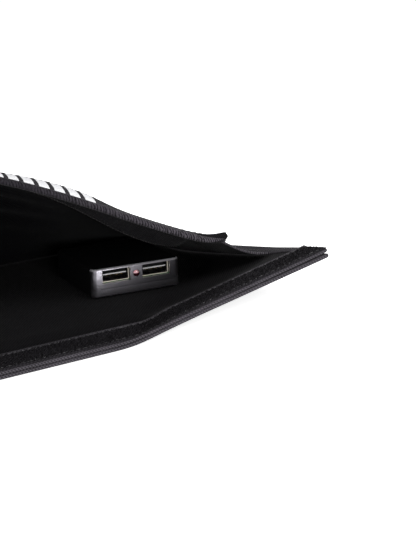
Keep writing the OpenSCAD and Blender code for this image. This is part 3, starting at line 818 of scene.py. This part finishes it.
collar_r = lamp_r + 0.4
dome = [(lamp_r * math.sin(a), 0.9 - lamp_r * math.cos(a)) for a in steps(0, math.pi / 2, 6)]
lamp = turned(dome + [(lamp_r, 1.7), (collar_r, 1.7), (collar_r, 2.7), (lamp_r, 2.7), (lamp_r, 4.4), (0, 4.4)], 24)
lamp_at = case_at @ Matrix.Translation((0, 0, lamp_z)) @ Matrix.Rotation(-math.pi / 2, 4, "X")
lamp = in_case("status_led_lens", lamp, lens, 40, lamp_at)
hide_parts("status_led")


# Circuit board and what is soldered to it: a drum inductor of sintered ferrite, two aluminium
# capacitors and two moulded chips, with the lamp's tinned leads. All are inside the closed case.
mask = Finish("green_solder_mask", Coat_Weight=0.4, Coat_Roughness=0.2)
where = mask.place()
track = mask.node("TexBrick", {"offset": 0.3}, {"Vector": where, "Scale": 260.0, "Mortar Size": 0.03,
                  "Color1": (0, 0, 0, 1), "Color2": (0.25, 0.25, 0.25, 1), "Mortar": (1, 1, 1, 1)})
dress("circuit_board", mask.feed(Base_Color=mask.mix((0.008, 0.07, 0.022), (0.03, 0.16, 0.06), track),
                                 Roughness=0.35 + mask.noise(where, 800.0) * 0.15))
dress("power_inductor", mottled("sintered_ferrite", (0.02, 0.019, 0.018), (0.07, 0.064, 0.06), 2600.0, (0.5, 0.8),
                                detail=4.0, depth=0.05, Specular_IOR_Level=0.4))
can = Finish("drawn_aluminium", Metallic=1.0)
drawn = can.noise(can.node("Mapping", {}, {"Vector": can.place(), "Scale": (1.0, 1.0, 0.05)}), 3000.0)
dress("capacitors", can.feed(Base_Color=can.mix((0.55, 0.56, 0.58), (0.76, 0.77, 0.79), drawn),
                             Roughness=0.28 + drawn * 0.2))
dress("control_chips", mottled("moulded_epoxy", (0.009, 0.009, 0.010), (0.03, 0.03, 0.032), 4200.0, (0.6, 0.85),
                               detail=3.0, depth=0.03, Specular_IOR_Level=0.35))
tinned = mottled("tinned_copper", (0.58, 0.58, 0.57), (0.76, 0.76, 0.75), 500.0, (0.28, 0.53), Metallic=1.0)
dress("led_leads", tinned)


# Case screws and the lead's gland. Four zinc-plated self-tapping screws from below, and a moulded
# rubber gland in the rear wall, where the panels' lead comes in.
dress("case_screws", mottled("zinc_plate", (0.45, 0.46, 0.48), (0.66, 0.67, 0.70), 1800.0, (0.3, 0.55), Metallic=1.0))
dress("lead_gland", mottled("moulded_rubber", (0.010, 0.010, 0.010), (0.035, 0.035, 0.036), 900.0, (0.7, 0.9),
                            detail=3.0, depth=0.03, Specular_IOR_Level=0.3))


# Solar leaves. Each has a back cover of the same nylon, a white glass-fibre board with eighteen
# cells joined by tinned ribbons, a clear film over them, and a nylon border sewn over the board's edge.
leaf_middle, eyelet_y, eyelet_x = {1: 0.0, 2: 177.0}, {1: -76.1, 2: 253.1}, 143.6
cell_w, cell_d = 43.77, 42.53
silicon = Finish("solar_silicon", Coat_Weight=0.15, Coat_Roughness=0.15, Specular_IOR_Level=0.2)
where = silicon.place()
x = silicon.node("SeparateXYZ", {}, {0: where})
y = x.other(1)
cell = silicon.node("CombineXYZ", {}, {
    0: (x * (1000 / cell_w)).math("FLOOR"), 1: ((y + 0.0202) * (1000 / cell_d)).math("FLOOR")})
each = silicon.node("TexWhiteNoise", {}, {"Vector": cell})
finger = (y * 500.0).math("FRACT") < 0.06
crystal = silicon.node("TexVoronoi", {}, {"Vector": where, "Scale": 140.0}, 1)
crystal = silicon.node("SeparateColor", {}, {0: crystal})
tone = crystal * 0.45 + each * 0.4
blue = silicon.mix((0.004, 0.007, 0.022), (0.012, 0.028, 0.085), tone)
silicon = silicon.feed(Base_Color=silicon.mix(blue, (0.20, 0.22, 0.26), finger * 0.6), Roughness=0.22 + tone * 0.15)
laminate = mottled("white_laminate", (0.60, 0.60, 0.57), (0.72, 0.72, 0.69), 700.0, (0.5, 0.7),
                   Specular_IOR_Level=0.4)
film = Finish("clear_film", Base_Color=(0.35, 0.42, 0.55, 1), Alpha=0.06, Specular_IOR_Level=0.5)
dimple = film.node("TexVoronoi", {}, {"Vector": film.place(), "Scale": 900.0})
film = film.feed(bump=dimple, depth=0.02, Roughness=0.06 + dimple * 0.12)
eyelet_plate = Finish("gunmetal_plate", Metallic=1.0)
rub = eyelet_plate.noise(eyelet_plate.place(), 450.0, 3.0)
eyelet_plate = eyelet_plate.feed(Base_Color=eyelet_plate.mix((0.16, 0.16, 0.17), (0.42, 0.42, 0.43), rub ** 2 * 1.6),
                                 Roughness=0.25 + rub * 0.25)


def border_cloth(middle):
    """A frame of cloth: flat on the margin, up the board's edge, and over it to the window."""
    bm = bmesh.new()
    bmesh.ops.create_grid(bm, x_segments=1, y_segments=1, size=0.5)
    bmesh.ops.scale(bm, verts=bm.verts, vec=(leaf_w, leaf_d, 1))
    bmesh.ops.translate(bm, verts=bm.verts, vec=(0, 0, 1.6))
    bm.normal_update()
    window = bm.faces[:]
    for reach, rise in ((4.0, 0), (8.6, 0), (0.35, 0.25), (0.5, 0.75), (0.5, 0.75), (0.35, 0.2),
                        (2.2, 0.1), (2.5, -0.05)):
        bmesh.ops.inset_region(bm, faces=window, thickness=reach, depth=rise, use_boundary=True,
                               use_even_offset=True)
    bmesh.ops.delete(bm, geom=window, context="FACES")
    long = [e for e in bm.edges if e.calc_length() > 60]
    bmesh.ops.subdivide_edges(bm, edges=long, cuts=47, use_grid_fill=True)
    cut = bm.loops.layers.uv.new("cut")
    for v in bm.verts:
        edge = min(half_leaf_w - abs(v.co.x), half_leaf_d - abs(v.co.y))
        if 1 < edge < 11:
            v.co.z += 0.16 * math.sin(v.co.x * 0.31 + v.co.y * 0.27) * math.sin(v.co.x * 0.11 - v.co.y * 0.19)
    for face in bm.faces:
        for corner in face.loops:
            corner[cut].uv = (corner.vert.co.x, corner.vert.co.y)
    for v in bm.verts:
        v.co = (v.co.x * mm, (v.co.y + middle) * mm, v.co.z * mm)
    bmesh.ops.recalc_face_normals(bm, faces=bm.faces)
    return bm


for k, middle in leaf_middle.items():
    body = f"solar_leaf_{k}"
    back = made(f"back_cover_{k}_cloth", cut_cloth(
        steps(-half_leaf_w, half_leaf_w, 60), steps(-half_leaf_d, half_leaf_d, 33),
        lambda s, t: Vector((s, t + middle, 0.5 + 0.05 * math.sin(s * 0.13) * math.sin(t * 0.17))) * mm), nylon, body)
    thicken(back, ply_thick, edge=0.3)
    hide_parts(f"back_cover_{k}")
    for layer, finish in (("panel_board", laminate), ("cells", silicon), ("tab_ribbons", tinned),
                          ("clear_cover", film)):
        dress(f"{layer}_{k}", finish)
    border = made(f"border_{k}_cloth", border_cloth(middle), nylon, body)
    thicken(border, 0.8)
    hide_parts(f"border_{k}")

    rolled = [(2.5, 0.05), (2.5, 2.2), (2.62, 2.5), (2.95, 2.68), (3.5, 2.7), (4.3, 2.6), (4.85, 2.4), (5.0, 2.22),
              (4.7, 2.16), (3.0, 2.16), (3.0, 0.05), (2.5, 0.05)]
    washer = [(3.05, 0.12), (3.3, 0.0), (4.8, 0.0), (5.0, 0.2), (4.9, 0.45), (4.5, 0.5), (3.05, 0.5), (3.05, 0.12)]
    corners = [Matrix.Scale(mm, 4) @ Matrix.Translation((x, eyelet_y[k], 0)) for x in (-eyelet_x, eyelet_x)]
    for name, profile in ((f"eyelets_{k}", rolled), (f"eyelet_washers_{k}", washer)):
        pair = bmesh.new()
        join(pair, turned(profile, 32), corners)
        ring = made(name + "_turned", pair, eyelet_plate, body, 50)
        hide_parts(name)


# Fold webs. Between the leaves the two plies are sewn flat together as a 12 mm web, which is the hinge.
web_half = 6
for name, line, first, second, halves in (
        ("fold_web_1", -88.5, "pocket_leaf", "solar_leaf_1", ("web_1_pocket_half", "web_1_solar_half")),
        ("fold_web_2", 88.5, "solar_leaf_1", "solar_leaf_2", ("web_2_inner_half", "web_2_outer_half"))):
    web = made(name, cut_cloth(
        steps(-half_leaf_w, half_leaf_w, 50), steps(-web_half, web_half, 24),
        lambda s, t: Vector((s, line + t, 1.1 + 0.08 * math.sin(s * 0.21 + t))) * mm), nylon)
    thicken(web, 1.1)
    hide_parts(*halves)
    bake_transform(web)


# Sewing thread. Black bonded polyester in lockstitch, about 3 mm to a stitch, along every tape,
# binding, hem and border. Each stitch sits half sunk in the cloth it holds.
thread = mottled("bonded_thread", (0.008, 0.0075, 0.009), (0.030, 0.028, 0.031), 2400.0, (0.6, 0.8), depth=0.05,
                 Sheen_Weight=0.2, Specular_IOR_Level=0.3)


def sewn(path, first, last, pitch=3.0, length=2.3):
    """Matrices for a row of stitches along path(s), for s in mm from first to last."""
    spots, s = [], first
    while s + length <= last:
        start, end = path(s), path(s + length)
        ahead = (end - start).normalized()
        across = Vector((0, 0, 1)).cross(ahead).normalized()
        over = ahead.cross(across)
        turn = Matrix((ahead, across, over)).transposed().to_4x4()
        size = Matrix.Diagonal((length * mm, 0.55 * mm, 0.4 * mm, 1))
        spots.append(Matrix.Translation((start + end) / 2) @ turn @ size)
        s += pitch
    return spots


def stitched(name, rows, body=None):
    """Sews a piece of thread: one bead of it for each matrix in rows."""
    bead = bmesh.new()
    bmesh.ops.create_uvsphere(bead, u_segments=6, v_segments=4, radius=0.5)
    bmesh.ops.rotate(bead, verts=bead.verts, cent=(0, 0, 0), matrix=Matrix.Rotation(math.pi / 2, 3, "Y"))
    return scattered(name, bead, rows, thread, body)


rows = []
for y in (2.4, 15.0):
    rows += sewn(lambda u: on_leaf(u, y, on_tape(u, y) + 0.05), 4, 296)
for u in (2.6, 297.4):
    rows += sewn(lambda y: on_leaf(u, y, 3.25 + curl(u, y)), 19, 163)
    rows += sewn(lambda y: on_leaf(u, y, back_height(u, y) - 0.73), 4, 163)
rows += sewn(lambda u: on_leaf(u, 2.6, back_height(u, 2.6) - 0.73), 4, 296)
for y in (148.3, 154.3):
    rows += sewn(lambda u: on_leaf(u, y, 4.4), 8, 292)
rows += sewn(lambda u: on_leaf(u, 162, 3.0), 3, 297)
stitched("pocket_stitching", rows, "pocket_leaf")

rows = sewn(lambda s: on_flap(s / seam_wide, 0.908, -0.03), 3, 229, pitch=2.6, length=2.0)
rows += sewn(lambda s: on_flap(s / seam_wide, 0.775, -0.03), 110, 227)
rows += sewn(lambda s: on_flap(s / seam_wide, 0.03, -0.03), 3, 229)
stitched("flap_stitching", rows, "flap")

for k, middle in leaf_middle.items():
    rows = []
    for edge, high in ((3.2, 2.03), (16.6, 4.02), (3.2, 0.04)):
        w, d = half_leaf_w - edge, half_leaf_d - edge
        for sign in (-1, 1):
            rows += sewn(lambda s: Vector((s, sign * d + middle, high)) * mm, -w, w)
            rows += sewn(lambda s: Vector((sign * w, s + middle, high)) * mm, -d + 1.5, d - 1.5)
    stitched(f"leaf_stitching_{k}", rows, f"solar_leaf_{k}")

for side, a in (("right", 0), ("left", 1)):
    rows = sewn(lambda t: on_gusset(a, 1 - t / gusset_long, 0.95, 0.55), 3, 106, pitch=2.6, length=2.0)
    rows += sewn(lambda s: on_gusset(a, 0.975, 1 - s / gusset_high, 0.55), 1, 22, pitch=2.0, length=1.5)
    edging = stitched(f"gusset_{side}_stitching", rows)
    x = 0.144 if a == 0 else -0.144
    x * 116 / 144
    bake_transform(edging)


# Studio. A white floor that takes a soft shadow, an even white surround and four soft lights: a broad
# one at the front right, a low one that glances off the case's face, a weak one at the left, one behind.
def in_sight(nodes):
    """1 for rays that show a surface, straight or by way of a gloss or a film, and 0 for those that light one."""
    rays = nodes.node("LightPath", {}, {})
    return (rays + rays.other("Is Glossy Ray") + rays.other("Is Transmission Ray")).math("MINIMUM", 1.0)


ground = Finish("studio_floor")
ground.tree.nodes.remove(ground.shader)
matt = ground.node("BsdfDiffuse", {}, {"Color": (0.9, 0.9, 0.9, 1)})
glow = ground.node("Emission", {}, {"Strength": in_sight(ground) * 0.8})
above = ground.node("AddShader", {}, {0: matt, 1: glow})
below = ground.node("BsdfTransparent", {}, {})
facing = ground.node("NewGeometry", {}, {}, "Backfacing")
surface = ground.node("MixShader", {}, {0: facing, 1: above, 2: below})
ground.tree.links.new(surface.socket, ground.tree.nodes["Material Output"].inputs["Surface"])
bm = bmesh.new()
bmesh.ops.create_grid(bm, x_segments=8, y_segments=8, size=4)
bmesh.ops.translate(bm, verts=bm.verts, vec=(0, 0, -0.25 * mm))
made("studio_floor", bm, ground.material)

world = bpy.data.worlds.new("studio")
bpy.context.scene.world = world
surround = Nodes(world)
sky = surround.tree.nodes["Background"]
sky.inputs["Color"].default_value = (1, 1, 1, 1)
surround.tree.links.new((0.25 + in_sight(surround) * 0.75).socket, sky.inputs["Strength"])


def softbox(name, at, toward, wide, high, watts):
    """A rectangular light that faces a point."""
    lamp = bpy.data.lights.new(name, "AREA")
    lamp.shape, lamp.size, lamp.size_y, lamp.energy = "RECTANGLE", wide, high, watts
    obj = linked(name, lamp)
    obj.location = at
    obj.rotation_euler = (Vector(toward) - Vector(at)).to_track_quat("-Z", "Y").to_euler()


softbox("front_light", (0.5, -1.45, 1.05), (0.06, -0.2, 0.02), 0.8, 0.6, 20)
softbox("low_light", (-0.24, -1.38, 0.14), (0.08, -0.2, 0.02), 0.45, 0.25, 9)
softbox("side_light", (-1.05, -0.5, 0.24), (0.06, -0.2, 0.01), 0.5, 0.4, 2)
softbox("rear_light", (0.5, 0.9, 1.4), (0.06, -0.1, 0.0), 0.8, 0.6, 12)

azimuth, elevation, roll = math.radians(-34.52), math.radians(15), math.radians(1.94)
target, distance = Vector((0.14066, -0.17991, 0)), 0.6
focal_px, picture_px = 1213.8, 538
right = Vector((math.cos(azimuth), math.sin(azimuth), 0))
back = Vector((right.y, -right.x, 0)) * math.cos(elevation) + Vector((0, 0, math.sin(elevation)))
up = right.cross(-back)
level_right = right * math.cos(roll) - up * math.sin(roll)
level_up = right * math.sin(roll) + up * math.cos(roll)
view = bpy.data.cameras.new("camera")
view.sensor_width, view.clip_start = 36, 0.01
view.lens = view.sensor_width * focal_px / picture_px
camera = linked("camera", view)
camera.matrix_world = Matrix.Translation(target + back * distance) @ \
    Matrix((level_right, level_up, back)).transposed().to_4x4()
bpy.context.scene.camera = camera
bpy.context.scene.view_settings.view_transform = "Standard"
